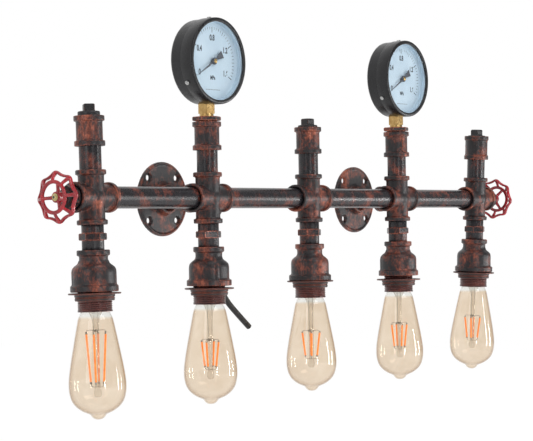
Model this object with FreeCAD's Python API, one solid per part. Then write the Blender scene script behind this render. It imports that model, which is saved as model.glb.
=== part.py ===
import FreeCAD, Part
import math
import os

# Wall light made of threaded pipe fittings: one level run of pipe, five columns hanging on it, two wall
# flanges behind columns 2 and 4, two dial gauges above them, a handwheel at each end of the run.
# Millimetres. Origin on the wall plane, at the height of the run's axis and at column 3. X runs along
# the run, Y points into the wall, Z is up. Columns are numbered 1 to 5 from the left, seen from the room.

V = FreeCAD.Vector
ORIGIN = V(0, 0, 0)
X_AXIS = V(1, 0, 0)
Y_AXIS = V(0, 1, 0)
Z_AXIS = V(0, 0, 1)

# Run and columns
COLUMN_PITCH = 206.0
WALL_GAP = 75.0             # wall plane to the axis of the run
COLUMN_X = {column: (column - 3) * COLUMN_PITCH for column in range(1, 6)}
COLUMN_LEAN = {1: -1.3, 5: 2.6}     # degrees about X: the end crosses are screwed on a little turned
GAUGE_COLUMNS = (2, 4)      # these also stand off the wall
PLUG_COLUMNS = (1, 3, 5)

# Pipe, 3/4 inch nominal, and the fittings' common sizes
PIPE_R = 12.7
PIPE_BORE_R = 10.5
SOCKET_R = PIPE_R + 0.05    # a thread's pitch line, with its play
SEAT = 17.0                 # from a cross's centre to a pipe's end
MOUTH_R = 14.7              # countersink at a fitting's mouth
MOUTH_DEPTH = 2.5
THREAD_DEPTH = 14.0
EASE = 0.8                  # broken edge of a cast band

# Crosses
CROSS_REACH = 31.0
CROSS_BARREL_R = 14.8
CROSS_WAIST_R = 16.0        # the swell where the barrels meet
BAND_R = 17.5
BAND_WIDTH = 5.6

# Couplings above the crosses
COUPLING_LOW = 57.5
COUPLING_HIGH = 91.8
COUPLING_R = 15.1
COUPLING_BAND_WIDTH = 6.0
COUPLING_RIB_R = 16.3
COUPLING_RIB_WIDTH = 2.8
COUPLING_TURN = {1: 12, 2: 86, 3: 5, 4: 71, 5: 111}

# Square-headed plugs
PLUG_SIDE = 12.4
PLUG_HEAD = 8.5
PLUG_SHOWS = {1: 5.0, 3: 2.7, 5: 1.0}       # round shank left showing above the coupling
PLUG_TURN = {1: 51.0, 3: 82.5, 5: 82.5}

# Hexagon nipples and bell reducers below the crosses
HEX_TOP = -40.2
HEX_BOTTOM = -48.2
HEX_FLATS = 27.5
HEX_TURN = {1: 12.8, 2: 24.7, 3: 26.2, 4: 42.1, 5: 25.3}
NIPPLE_END = -72.0
REDUCER_TOP = -59.0
REDUCER_BOTTOM = -106.0
REDUCER_NECK_BAND_R = 18.75
REDUCER_NECK_R = 16.2
REDUCER_BODY_R = 24.4
REDUCER_BAND_R = 27.2
REDUCER_RIB_WIDTH = 3.0
REDUCER_TURN = {1: 133, 2: 63, 3: 13, 4: 134, 5: 106}

# Lampholders, E27
HOLDER_R = 19.75
HOLDER_BORE_R = 18.3
HOLDER_TOP = -86.0
HOLDER_BOTTOM = -128.3
SHELL_R = 13.9
SHELL_BORE_R = 13.5
CAP_R = 13.2
CAP_TOP = -96.9
GLASS_TOP = -124.0

# Shade rings on the lampholders' outer thread
RING_R = 30.0
RING_PLATE = 1.8
RING_HUB_R = 23.0
RING_HUB_END_R = 22.2
RING_HEIGHT = 9.0
RING_BORE_R = HOLDER_R + 0.1
RING_TOP = {1: -107.0, 2: -108.5, 3: -106.3, 4: -110.5, 5: -107.0}

# Bulbs, pear shaped with a flat pip
BULB_R = 33.0
BULB_CENTRE = -213.0
BULB_TIP = -249.0
FILAMENT_TOP = {1: -150.0, 2: -172.0, 3: -172.0, 4: -172.0, 5: -172.0}
FILAMENT_BOTTOM = {1: -210.0, 2: -205.0, 3: -205.0, 4: -205.0, 5: -205.0}
FILAMENT_TURN = {1: 30.0, 2: 15.0, 3: 40.0, 4: 55.0, 5: 20.0}

# Wall flanges and the nipples to them
FLANGE_R = 45.8
FLANGE_THICK = 5.0
FLANGE_BOSS_R = 19.5
FLANGE_BOSS_HEIGHT = 14.0
FLANGE_HOLES_PCD = 74.0
FLANGE_HOLE_R = 3.25
FLANGE_SINK_R = 5.5

# Gauges: measures from the gauge's axis, and to the front of the column's axis
GAUGE_HEIGHT = 164.3
GAUGE_R = 52.25
GAUGE_LIP_R = 47.2
GAUGE_FRONT = 21.0
GAUGE_BACK = -13.5
POT_R = 51.4
POT_WALL = 1.4
POT_MOUTH = 16.9
SKIRT_BACK = 4.0
WINDOW_BACK = 17.6
WINDOW_FRONT = 19.5
DIAL_FACE = 10.5
DIAL_SHEET = 0.8
BEZEL_SCREW_ANGLES = (92, 212, 332)
BEZEL_SCREW_FRONT = 7.8
STEM_SIDE = 14.1
STEM_NECK_R = 8.5
STEM_THREAD_R = 10.0
BUSHING_FLATS = 30.6
BUSHING_LOW = 93.0
BUSHING_HIGH = 98.0
POINTER_REST = 210.0        # degrees counter-clockwise from the right, seen from the room
POINTER_LENGTH = 38.0
POINTER_TAIL = 18.0

# Gauge movement
TOOTH_MODULE = 0.4
PINION_TEETH = 12
SECTOR_FULL_TEETH = 96
SECTOR_TEETH = range(-1, 9)         # the teeth cut on the sector, number 0 in mesh at rest
ARBOR_R = 1.0
PIVOT_R = 1.06
SECTOR_DROP = TOOTH_MODULE * (PINION_TEETH + SECTOR_FULL_TEETH) / 2
BOURDON_R = 34.0
BOURDON_START = 283.5
BOURDON_SWEEP = 245.0

# Handwheels: distances out from the end column's axis
WHEEL_RIM_R = 28.0
WHEEL_RIM_DIP = 2.7         # how far the rim draws in halfway between two points
WHEEL_RIM_SECTION_R = 1.65
WHEEL_RIM_OUT = 54.5
WHEEL_RING_R = 19.0
WHEEL_RING_BORE_R = 15.4
WHEEL_RING_OUT = 61.5
WHEEL_RING_THICK = 3.4
WHEEL_POINTS = 8
WHEEL_SPOKE_ANGLES = (90, 210, 330)
WHEEL_HUB_R = 6.25
WHEEL_HUB_BACK = 50.0
WHEEL_HUB_FACE = 58.5
WHEEL_TURN = {-1: -5.0, 1: 8.0}     # at the left and the right end, about X
SPINDLE_R = 4.0
SPINDLE_END = 56.5
BONNET_FLATS = 24.0

# Mains lead: leaves the back of the second length of run, hangs behind column 2
LEAD_R = 3.75
LEAD_X = COLUMN_X[2] + 80.0
GROMMET_R = 8.0
GROMMET_NECK_R = 5.9
LEAD_ROUTE = [
    V(LEAD_X, -70.8, 0.0),
    V(LEAD_X, -48.5, 0.0),
    V(LEAD_X, -29.0, -11.3),
    V(LEAD_X, -17.8, -30.8),
    V(LEAD_X, -17.8, -70.0),
    V(-120.5, -17.8, -101.0),
    V(-106.0, -17.8, -126.0),
    V(-83.0, -17.8, -145.0),
    V(-57.0, -17.8, -164.3),
]
WIRE_R = 1.1
WIRE_SPREAD = 3.0


# ---- shaping helpers ---------------------------------------------------------------------------------

def face_of(start, *steps):
    """Closed face in the XZ plane. A step (x, z) draws a line; a step (middle, end, chords) draws the arc
    through both points in that many chords, which keeps the small turned parts light."""
    corners = [V(start[0], 0, start[1])]
    for step in steps:
        if isinstance(step[0], tuple):
            middle, end = (V(x, 0, z) for x, z in step[:2])
            arc = Part.Arc(corners[-1], middle, end).toShape()
            corners += arc.discretize(step[2] + 1)[1:]
        else:
            corners.append(V(step[0], 0, step[1]))
    return Part.Face(Part.makePolygon(corners + corners[:1]))


def turned(start, *steps):
    """A half section revolved about Z."""
    return face_of(start, *steps).revolve(ORIGIN, Z_AXIS, 360)


def plate(front, thick, start, *steps):
    """A flat outline seen from the room, from y = front back by its thickness."""
    sheet = face_of(start, *steps)
    sheet.translate(V(0, front, 0))
    return sheet.extrude(V(0, thick, 0))


def rod(start, end, radius):
    return Part.makeCylinder(radius, (end - start).Length, start, end - start)


def bar(start, end, radius, sides):
    """A thin rod with a few flat sides, for wires and filaments."""
    length = (end - start).Length
    ring = [polar(radius, 360.0 * side / sides) for side in range(sides + 1)]
    prism = Part.Face(Part.makePolygon(ring)).extrude(V(0, 0, length))
    return moved(facing(prism, end - start), start.x, start.y, start.z)


def pipe(low, high):
    return turned((PIPE_BORE_R, low), (PIPE_R, low), (PIPE_R, high), (PIPE_BORE_R, high))


def polar(radius, degrees, z=0.0):
    angle = math.radians(degrees)
    return V(radius * math.cos(angle), radius * math.sin(angle), z)


def moved(shape, x=0.0, y=0.0, z=0.0):
    placed = shape.copy()
    placed.translate(V(x, y, z))
    return placed


def spun(shape, degrees, axis=Z_AXIS):
    placed = shape.copy()
    placed.rotate(ORIGIN, axis, degrees)
    return placed


def facing(shape, direction):
    """A shape modelled along Z, turned to point the given way."""
    turn = FreeCAD.Rotation(Z_AXIS, direction)
    return spun(shape, math.degrees(turn.Angle), turn.Axis) if turn.Angle > 0 else shape.copy()


def fused(first, *others):
    return first.fuse(list(others)).removeSplitter()


def hexagon(flats, low, high):
    """A hexagon prism along Z, its corners taken off by a cone at both ends."""
    corner = flats / math.sqrt(3)
    ring = [polar(corner, 60 * side, low) for side in range(7)]
    prism = Part.Face(Part.makePolygon(ring)).extrude(V(0, 0, high - low))
    wide = corner + 0.3
    cones = turned((0, low), (corner - 1.2, low), (wide, low + 0.9), (wide, high - 0.9),
                   (corner - 1.2, high), (0, high))
    return prism.common(cones)


def mouth(reach):
    """What a thread and its countersink take out of a fitting, from its centre to a mouth at reach."""
    return turned((0, 0), (SOCKET_R, 0), (SOCKET_R, reach - MOUTH_DEPTH), (MOUTH_R, reach), (0, reach))


def in_column(shape, column):
    """A shape modelled on a column's own axis, set at its place on the run."""
    return moved(spun(shape, COLUMN_LEAN.get(column, 0.0), X_AXIS), COLUMN_X[column], -WALL_GAP)


def in_columns(make, columns=range(1, 6)):
    """One shape for each column; make takes the column's number."""
    return [in_column(make(column), column) for column in columns]


def write(node, shapes):
    """One STEP file for a node; a node of several equal pieces holds each as its own solid."""
    for shape in shapes:
        if not shape.isValid() or len(shape.Solids) != 1:
            print("check", node, shape.isValid(), len(shape.Solids))
    Part.makeCompound([shape.Solids[0] for shape in shapes]).exportStep(f"parts/{node}.step")


# ---- pipework ----------------------------------------------------------------------------------------

def cross(ways):
    """A cast cross: round barrels with a band at each mouth, swelling a little where they meet."""
    band_start = CROSS_REACH - BAND_WIDTH
    barrel = turned((0, 0), (CROSS_BARREL_R, 0), (CROSS_BARREL_R, band_start), (BAND_R, band_start),
                    (BAND_R, CROSS_REACH - EASE), (BAND_R - EASE, CROSS_REACH), (0, CROSS_REACH))
    body = fused(Part.makeSphere(CROSS_WAIST_R), *[facing(barrel, way) for way in ways])
    return body.cut([facing(mouth(CROSS_REACH), way) for way in ways]).removeSplitter()


def four_way_cross(column):
    return cross([X_AXIS, -X_AXIS, Z_AXIS, -Z_AXIS])


def five_way_cross(column):
    return cross([X_AXIS, -X_AXIS, Z_AXIS, -Z_AXIS, Y_AXIS])


def run_pipes():
    """The four lengths of pipe between the columns; the second has the hole for the mains lead."""
    lengths = []
    for column in range(1, 5):
        length = facing(pipe(COLUMN_X[column] + SEAT, COLUMN_X[column + 1] - SEAT), X_AXIS)
        if column == 2:
            length = length.cut(rod(V(LEAD_X, 0, 0), V(LEAD_X, 2 * PIPE_R, 0), GROMMET_NECK_R + 0.05))
        lengths.append(moved(length, y=-WALL_GAP))
    return lengths


def upper_nipple(column):
    return pipe(SEAT, COUPLING_LOW + THREAD_DEPTH)


def coupling(column):
    """A straight coupling, banded at both ends, with the two ribs left by its mould."""
    low, high = COUPLING_LOW, COUPLING_HIGH
    step_low, step_high = low + COUPLING_BAND_WIDTH, high - COUPLING_BAND_WIDTH
    body = turned((0, low), (BAND_R, low), (BAND_R, step_low), (COUPLING_R, step_low),
                  (COUPLING_R, step_high), (BAND_R, step_high), (BAND_R, high), (0, high))
    ribs = Part.makeBox(2 * COUPLING_RIB_R, COUPLING_RIB_WIDTH, step_high - step_low,
                        V(-COUPLING_RIB_R, -COUPLING_RIB_WIDTH / 2, step_low))
    bore = turned((0, low), (MOUTH_R, low), (SOCKET_R, low + MOUTH_DEPTH), (SOCKET_R, high - MOUTH_DEPTH),
                  (MOUTH_R, high), (0, high))
    return spun(fused(body, ribs).cut(bore), COUPLING_TURN[column])


def square_plug(column):
    """A plug with a cast square head, screwed into the coupling as far as it goes."""
    shoulder = COUPLING_HIGH + PLUG_SHOWS[column]
    shank = turned((0, COUPLING_HIGH - THREAD_DEPTH), (PIPE_R, COUPLING_HIGH - THREAD_DEPTH),
                   (PIPE_R, shoulder - EASE), (PIPE_R - EASE, shoulder), (0, shoulder))
    head = Part.makeBox(PLUG_SIDE, PLUG_SIDE, PLUG_HEAD, V(-PLUG_SIDE / 2, -PLUG_SIDE / 2, shoulder))
    top = shoulder + PLUG_HEAD
    head = head.makeChamfer(1.0, [e for e in head.Edges if e.BoundBox.ZMin > top - 0.01])
    return spun(fused(shank, head), PLUG_TURN[column])


def hex_nipple(column):
    """The nipple with its own hexagon, from the cross down into the reducer."""
    barrel = pipe(NIPPLE_END, -SEAT)
    nut = spun(hexagon(HEX_FLATS, HEX_BOTTOM, HEX_TOP), HEX_TURN[column])
    nut = nut.cut(rod(V(0, 0, HEX_BOTTOM), V(0, 0, HEX_TOP), PIPE_BORE_R))
    return fused(barrel, nut)


def bell_reducer(column):
    """A bell: narrow banded neck, quick flare, straight skirt with a heavy band, two mould ribs."""
    top, bottom = REDUCER_TOP, REDUCER_BOTTOM
    body = turned((0, top), (REDUCER_NECK_BAND_R, top), (REDUCER_NECK_BAND_R, top - 6.4), (REDUCER_NECK_R, top - 6.4),
                  (REDUCER_NECK_R, top - 13.0),
                  ((21.3, top - 16.5), (REDUCER_BODY_R, top - 23.0), 3),
                  (REDUCER_BODY_R, bottom + 7.5), (REDUCER_BAND_R, bottom + 7.0),
                  (REDUCER_BAND_R, bottom), (0, bottom))
    rib = plate(-REDUCER_RIB_WIDTH / 2, REDUCER_RIB_WIDTH, (0, top - 7.0), (REDUCER_NECK_R + 0.6, top - 7.0),
                (REDUCER_BAND_R, top - 20.0), (REDUCER_BAND_R, bottom + 7.0), (0, bottom + 7.0))
    hollow = turned((0, top), (SOCKET_R, top), (SOCKET_R, top - THREAD_DEPTH),
                    (HOLDER_R + 0.05, top - 24.0), (HOLDER_R + 0.05, bottom), (0, bottom))
    return spun(fused(body, rib, spun(rib, 180)).cut(hollow), REDUCER_TURN[column])


def wall_flange():
    """A floor flange about Z: rimmed disc, tapered boss, four countersunk holes."""
    boss_top = FLANGE_BOSS_HEIGHT
    disc = turned((SOCKET_R, 0), (FLANGE_R, 0), (FLANGE_R, FLANGE_THICK - 1), (FLANGE_R - 1, FLANGE_THICK),
                  (FLANGE_R - 2.6, FLANGE_THICK), (FLANGE_R - 3.4, FLANGE_THICK - 0.8),
                  (FLANGE_BOSS_R + 1.5, FLANGE_THICK - 0.8), (FLANGE_BOSS_R, FLANGE_THICK + 1),
                  (FLANGE_BOSS_R - 1.5, boss_top), (MOUTH_R, boss_top), (SOCKET_R, boss_top - MOUTH_DEPTH))
    face = FLANGE_THICK - 0.8
    sink = face - (FLANGE_SINK_R - FLANGE_HOLE_R)
    screw_hole = turned((0, -1), (FLANGE_HOLE_R, -1), (FLANGE_HOLE_R, sink), (FLANGE_SINK_R, face),
                        (FLANGE_SINK_R, face + 2), (0, face + 2))
    places = [polar(FLANGE_HOLES_PCD / 2, 45 + 90 * quarter) for quarter in range(4)]
    return disc.cut([moved(screw_hole, place.x, place.y) for place in places])


def wall_flange_at(column):
    return moved(facing(wall_flange(), -Y_AXIS), COLUMN_X[column])


def rear_nipple_at(column):
    return moved(facing(pipe(3.0, WALL_GAP - SEAT), -Y_AXIS), COLUMN_X[column])


# ---- lampholders and bulbs ---------------------------------------------------------------------------

def holder_sleeve(column):
    """The lampholder's outer sleeve, closed above but for the wires' hole."""
    return turned((6.0, HOLDER_TOP), (HOLDER_R, HOLDER_TOP), (HOLDER_R, HOLDER_BOTTOM),
                  (HOLDER_BORE_R, HOLDER_BOTTOM), (HOLDER_BORE_R, HOLDER_TOP - 1.5), (6.0, HOLDER_TOP - 1.5))


def holder_insulator(column):
    """The ceramic cup in the sleeve, which carries the contacts and surrounds the screw shell."""
    top = HOLDER_TOP - 2.0
    return turned((0, top), (HOLDER_BORE_R - 0.05, top), (HOLDER_BORE_R - 0.05, -118.0), (SHELL_R + 1.6, -118.0),
                  (SHELL_R + 1.6, top - 7.5), (0, top - 7.5))


def screw_shell(column):
    """The thin cup that takes the bulb's cap."""
    top = HOLDER_TOP - 9.5
    return turned((5.5, top), (SHELL_R, top), (SHELL_R, -121.0), (SHELL_BORE_R, -121.0),
                  (SHELL_BORE_R, top - 0.4), (5.5, top - 0.4))


def holder_contacts(column):
    """The sprung centre tongue, in the shell's hole, and the strip that clips on the shell."""
    tongue = Part.makeBox(6.0, 4.0, 1.0, V(-3.0, -2.0, HOLDER_TOP - 10.5))
    strip = Part.makeBox(1.0, 3.0, 14.0, V(SHELL_R + 0.05, -1.5, HOLDER_TOP - 24.0))
    return tongue, strip


def shade_ring(column):
    """The threaded ring that clamps a shade: thin flange above, tapered hub below."""
    top = RING_TOP[column]
    return turned((RING_BORE_R, top), (RING_R, top), (RING_R, top - RING_PLATE), (RING_HUB_R, top - RING_PLATE),
                  (RING_HUB_END_R, top - RING_HEIGHT), (RING_BORE_R, top - RING_HEIGHT))


def bulb_cap(column):
    """Screw cap: centre contact, insulating cone, shell."""
    return turned((0, CAP_TOP), (4.5, CAP_TOP), (CAP_R, CAP_TOP - 4.5), (CAP_R, GLASS_TOP), (0, GLASS_TOP))


def bulb_outline(scale):
    """Half section of the bulb, drawn in towards a point on its axis by the scale."""
    def at(radius, z):
        middle = -190.0
        return radius * scale, middle + (z - middle) * scale
    neck = at(14.2, GLASS_TOP)
    return face_of((0, GLASS_TOP), (neck[0], GLASS_TOP), (neck[0], neck[1] - 0.01),
                   (at(18.3, -131.0), at(20.4, -139.0), 1),
                   (at(26.8, -172.0), at(32.4, -206.7), 2),
                   (at(30.6, -225.4), at(18.2, -240.5), 3),
                   at(7.5, -247.2), (0, at(0, BULB_TIP)[1]))


def bulb_glass(column):
    """The glass envelope, open at its neck where the cap covers it."""
    outside = bulb_outline(1.0).revolve(ORIGIN, Z_AXIS, 360)
    inside = bulb_outline((BULB_R - 0.9) / BULB_R).revolve(ORIGIN, Z_AXIS, 360)
    return outside.cut(inside)


def filament_mount(column):
    """Glass stem with its long post, and four straight filaments held by wire spiders."""
    top, bottom = FILAMENT_TOP[column], FILAMENT_BOTTOM[column]
    stem = turned((0, GLASS_TOP), (9.0, GLASS_TOP), (2.4, GLASS_TOP - 16.0), (1.7, bottom - 14.0),
                  (0, bottom - 14.0))
    pieces = []
    for quarter in range(4):
        angle = FILAMENT_TURN[column] + 90 * quarter
        pieces.append(bar(polar(11.5, angle, top), polar(7.5, angle, bottom), 0.9, 6))
        pieces.append(bar(V(0, 0, top + 1), polar(11.5, angle, top - 0.4), 0.45, 4))
        pieces.append(bar(V(0, 0, bottom - 2), polar(7.5, angle, bottom + 0.4), 0.45, 4))
    return fused(stem, *pieces)


# ---- gauges ------------------------------------------------------------------------------------------

def at_gauge(shape, column):
    """A shape modelled about the gauge's axis, with Y back to the wall, set above its column."""
    return moved(shape, COLUMN_X[column], -WALL_GAP, GAUGE_HEIGHT)


def dished(start, *steps):
    """A gauge part turned about the gauge's axis; its section is given as radius and distance forward."""
    return facing(turned(start, *steps), -Y_AXIS)


def gauge_bushing(column):
    """Hexagon bushing from the coupling's thread to the gauge's smaller one."""
    shank = rod(V(0, 0, COUPLING_HIGH - THREAD_DEPTH), V(0, 0, BUSHING_LOW), PIPE_R)
    nut = spun(hexagon(BUSHING_FLATS, BUSHING_LOW, BUSHING_HIGH), 20)
    bore = rod(V(0, 0, COUPLING_HIGH - THREAD_DEPTH), V(0, 0, BUSHING_HIGH), STEM_THREAD_R + 0.05)
    return fused(shank, nut).cut(bore)


def gauge_stem(column):
    """Brass connection: thread, round neck and the square that runs on into the case as its block."""
    low = COUPLING_HIGH - 8.0
    neck_top = BUSHING_HIGH + 3.5
    thread = turned((0, low), (STEM_THREAD_R, low), (STEM_THREAD_R, BUSHING_HIGH), (STEM_NECK_R, BUSHING_HIGH),
                    (STEM_NECK_R, neck_top), (0, neck_top))
    square = Part.makeBox(STEM_SIDE, STEM_SIDE, GAUGE_HEIGHT - 30.0 - neck_top,
                          V(-STEM_SIDE / 2, -STEM_SIDE / 2, neck_top))
    return fused(thread, square)


def bezel_screw_way(angle, inner, outer, radius):
    """A round pin across the bezel's skirt at an angle seen from the room."""
    turn = math.radians(angle)
    out = V(math.cos(turn), 0, math.sin(turn))
    back = V(0, -BEZEL_SCREW_FRONT, 0)
    return rod(out * inner + back, out * outer + back, radius)


def stem_way():
    """What the square stem takes out of the pot and the bezel's skirt."""
    side = STEM_SIDE + 0.1
    return Part.makeBox(side, side, 10.0, V(-side / 2, -side / 2, -GAUGE_R - 3.0))


def gauge_pot(column):
    """The pressed case behind the bezel, with the square stem let in from below."""
    inner = POT_R - POT_WALL
    floor = GAUGE_BACK + POT_WALL
    pot = dished((0, GAUGE_BACK), (POT_R - 4.0, GAUGE_BACK), (POT_R - 1.2, GAUGE_BACK + 1.2),
                 (POT_R, GAUGE_BACK + 4.0), (POT_R, POT_MOUTH), (inner, POT_MOUTH),
                 (inner, floor + 2.6), (inner - 2.6, floor), (0, floor))
    holes = [bezel_screw_way(angle, inner - 2, POT_R + 2, 1.45) for angle in BEZEL_SCREW_ANGLES]
    return at_gauge(pot.cut([stem_way()] + holes), column)


def gauge_bezel(column):
    """The turned ring over the window: front lip, rounded shoulder and a skirt down over the pot."""
    skirt_inner = POT_R + 0.1
    ring = dished((skirt_inner, SKIRT_BACK), (GAUGE_R, SKIRT_BACK), (GAUGE_R, GAUGE_FRONT - 1.6),
                  (GAUGE_R - 1.6, GAUGE_FRONT), (GAUGE_LIP_R + 0.6, GAUGE_FRONT),
                  (GAUGE_LIP_R, GAUGE_FRONT - 0.6), (GAUGE_LIP_R, WINDOW_FRONT), (skirt_inner, WINDOW_FRONT))
    holes = [bezel_screw_way(angle, POT_R - 4, GAUGE_R + 2, 1.45) for angle in BEZEL_SCREW_ANGLES]
    return at_gauge(ring.cut([stem_way()] + holes), column)


def gauge_window(column):
    radius = POT_R
    return at_gauge(dished((0, WINDOW_BACK), (radius, WINDOW_BACK), (radius, WINDOW_FRONT), (0, WINDOW_FRONT)),
                    column)


def gauge_dial(column):
    """The dial, a shallow pan whose rim is clamped under the window."""
    back = DIAL_FACE - DIAL_SHEET
    return at_gauge(dished((2.0, back), (GAUGE_LIP_R + DIAL_SHEET, back),
                           (GAUGE_LIP_R + DIAL_SHEET, POT_MOUTH), (POT_R - 0.6, POT_MOUTH),
                           (POT_R - 0.6, WINDOW_BACK), (GAUGE_LIP_R, WINDOW_BACK), (GAUGE_LIP_R, DIAL_FACE),
                           (2.0, DIAL_FACE)), column)


def bezel_screws(column):
    """Three round-headed screws that hold the bezel on the pot."""
    screws = []
    for angle in BEZEL_SCREW_ANGLES:
        shank = bezel_screw_way(angle, POT_R - 3.0, GAUGE_R, 1.4)
        head = bezel_screw_way(angle, GAUGE_R, GAUGE_R + 1.3, 2.6)
        screws.append(at_gauge(fused(shank, head), column))
    return screws


def gear_tooth(pitch_r, teeth, number, turn):
    """Points of one tooth, as (radius, degrees): narrow tip, play at the pitch line, wide root."""
    step = 360.0 / teeth
    middle = turn + number * step
    root, tip = pitch_r - 1.15 * TOOTH_MODULE, pitch_r + 0.8 * TOOTH_MODULE
    half = [(root, 0.33 * step), (pitch_r, 0.19 * step), (tip, 0.07 * step)]
    rising = [(radius, middle - angle) for radius, angle in half]
    return rising + [(radius, middle + angle) for radius, angle in reversed(half)]


def seen_from_front(radius, degrees):
    """X and Z of a point at an angle counter-clockwise from the right, seen from the room."""
    return radius * math.cos(math.radians(degrees)), radius * math.sin(math.radians(degrees))


def gauge_pointer(column):
    """Pointer blade with its arrow tail, hub, arbor and pinion, at rest on zero."""
    blade = plate(-13.9, 0.5, (POINTER_LENGTH, 0.0), (3.0, 1.5), (-6.0, 1.2), (-POINTER_TAIL, 5.0),
                  (-POINTER_TAIL, -5.0), (-6.0, -1.2), (3.0, -1.5))
    hub = dished((0, 12.4), (3.6, 12.4), (4.2, 13.0), (4.2, 14.6), (3.2, 15.4), (0, 15.4))
    arbor = rod(V(0, -12.6, 0), V(0, 8.0, 0), ARBOR_R)
    pitch_r = TOOTH_MODULE * PINION_TEETH / 2
    outline = []
    for number in range(PINION_TEETH):
        outline += gear_tooth(pitch_r, PINION_TEETH, number, 15.0)
    pinion = plate(-3.0, 2.0, *[seen_from_front(radius, angle) for radius, angle in outline])
    pointer = fused(spun(blade, -POINTER_REST, Y_AXIS), hub, arbor, pinion)
    return at_gauge(pointer, column)


def sector_gear(column):
    """The toothed sector under the pinion, on its own arbor, with the tail that the link pulls."""
    pitch_r = TOOTH_MODULE * SECTOR_FULL_TEETH / 2
    outline = [(3.4, -70)]
    for number in reversed(SECTOR_TEETH):
        outline += gear_tooth(pitch_r, SECTOR_FULL_TEETH, -number, 90)
    outline += [(3.4, 160), (3.4, 225)]
    sheet = plate(-2.5, 1.0, *[seen_from_front(radius, angle) for radius, angle in outline])
    tail = plate(-2.5, 1.0, (0, -2), (0, 2), (-8, 1.4), (-8, -1.4))
    arbor = rod(V(0, -7.9, 0), V(0, 8.0, 0), ARBOR_R)
    return at_gauge(moved(fused(sheet, tail, arbor), z=-SECTOR_DROP), column)


def movement_frame(column):
    """Front and back plates on the stem's block, joined by a post, with the pivot holes."""
    low, high = -42.0, 6.0
    half = STEM_SIDE / 2
    plates = []
    for front in (-half - 1.25, half + 0.05):
        sheet = plate(front, 1.2, (-half, low), (half, low), (half, high - 4), (half - 4, high),
                      (-half + 4, high), (-half, high - 4))
        for drop in (0, -SECTOR_DROP):
            sheet = sheet.cut(rod(V(0, front - 1, drop), V(0, front + 3, drop), PIVOT_R))
        plates.append(sheet)
    post = rod(V(5.2, -half - 0.1, -27.4), V(5.2, half + 0.1, -27.4), 1.3)
    return at_gauge(fused(post, *plates), column)


def bourdon_tube(column):
    """The flattened spring tube: an open C from the stem's block round to its closed tip."""
    section = face_of((BOURDON_R - 1.7, -8.0), (BOURDON_R + 1.7, -8.0), (BOURDON_R + 1.7, 1.0),
                      (BOURDON_R - 1.7, 1.0))
    tube = spun(section.revolve(ORIGIN, Z_AXIS, BOURDON_SWEEP), BOURDON_START)
    tube = facing(tube, -Y_AXIS)
    return at_gauge(tube, column)


# ---- handwheels --------------------------------------------------------------------------------------

def wheel_rim():
    """Scalloped rim: eight-sided sections at the points and halfway between, with straight stretches."""
    sections = []
    for step in range(2 * WHEEL_POINTS):
        middle_r = WHEEL_RIM_R - (WHEEL_RIM_DIP if step % 2 else 0.0)
        azimuth = step * 180.0 / WHEEL_POINTS
        around = [polar(WHEEL_RIM_SECTION_R, 22.5 + 45 * corner) for corner in range(8)]
        section = [polar(middle_r + point.x, azimuth, WHEEL_RIM_OUT + point.y) for point in around]
        sections.append(Part.makePolygon(section + section[:1]))
    stretches = [Part.makeLoft([here, there], True, True)
                 for here, there in zip(sections, sections[1:] + sections[:1])]
    return fused(*stretches)


def handwheel():
    """Dished wheel along Z: scalloped rim, ribs up to a smaller ring, three spokes down to the hub."""
    half = WHEEL_RING_THICK / 2
    ring = turned((WHEEL_RING_BORE_R + 0.8, WHEEL_RING_OUT - half), (WHEEL_RING_R - 0.8, WHEEL_RING_OUT - half),
                  (WHEEL_RING_R, WHEEL_RING_OUT), (WHEEL_RING_R - 0.8, WHEEL_RING_OUT + half),
                  (WHEEL_RING_BORE_R + 0.8, WHEEL_RING_OUT + half), (WHEEL_RING_BORE_R, WHEEL_RING_OUT))
    hub = turned((SPINDLE_R + 0.02, WHEEL_HUB_BACK), (WHEEL_HUB_R, WHEEL_HUB_BACK), (WHEEL_HUB_R, WHEEL_HUB_FACE),
                 (2.1, WHEEL_HUB_FACE), (2.1, SPINDLE_END), (SPINDLE_R + 0.02, SPINDLE_END))
    ribs = []
    for point in range(WHEEL_POINTS):
        angle = point * 360.0 / WHEEL_POINTS
        ribs.append(rod(polar(WHEEL_RIM_R - 0.4, angle, WHEEL_RIM_OUT + 0.2),
                        polar(WHEEL_RING_R - 1.4, angle, WHEEL_RING_OUT), 1.4))
    spokes = [rod(polar(WHEEL_HUB_R - 1.5, angle, WHEEL_HUB_FACE - 2.2),
                  polar(WHEEL_RING_BORE_R + 1.2, angle, WHEEL_RING_OUT), 1.9) for angle in WHEEL_SPOKE_ANGLES]
    return fused(wheel_rim(), ring, hub, *ribs, *spokes)


def spindle():
    """Valve spindle: out through the bonnet, into the hub, drilled for the wheel's screw."""
    inner_end = 22.0
    return turned((0, inner_end), (SPINDLE_R, inner_end), (SPINDLE_R, SPINDLE_END), (2.05, SPINDLE_END),
                  (2.05, 46.0), (0, 46.0))


def wheel_screw():
    """Pan-headed screw through the hub, into the spindle."""
    seat = WHEEL_HUB_FACE + 0.8
    return turned((0, 47.0), (2.0, 47.0), (2.0, seat), (3.3, seat), (3.3, seat + 1.2), (2.2, seat + 2.0),
                  (0, seat + 2.0))


def wheel_washer():
    return turned((2.05, WHEEL_HUB_FACE), (4.25, WHEEL_HUB_FACE), (4.25, WHEEL_HUB_FACE + 0.8),
                  (2.05, WHEEL_HUB_FACE + 0.8))


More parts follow.
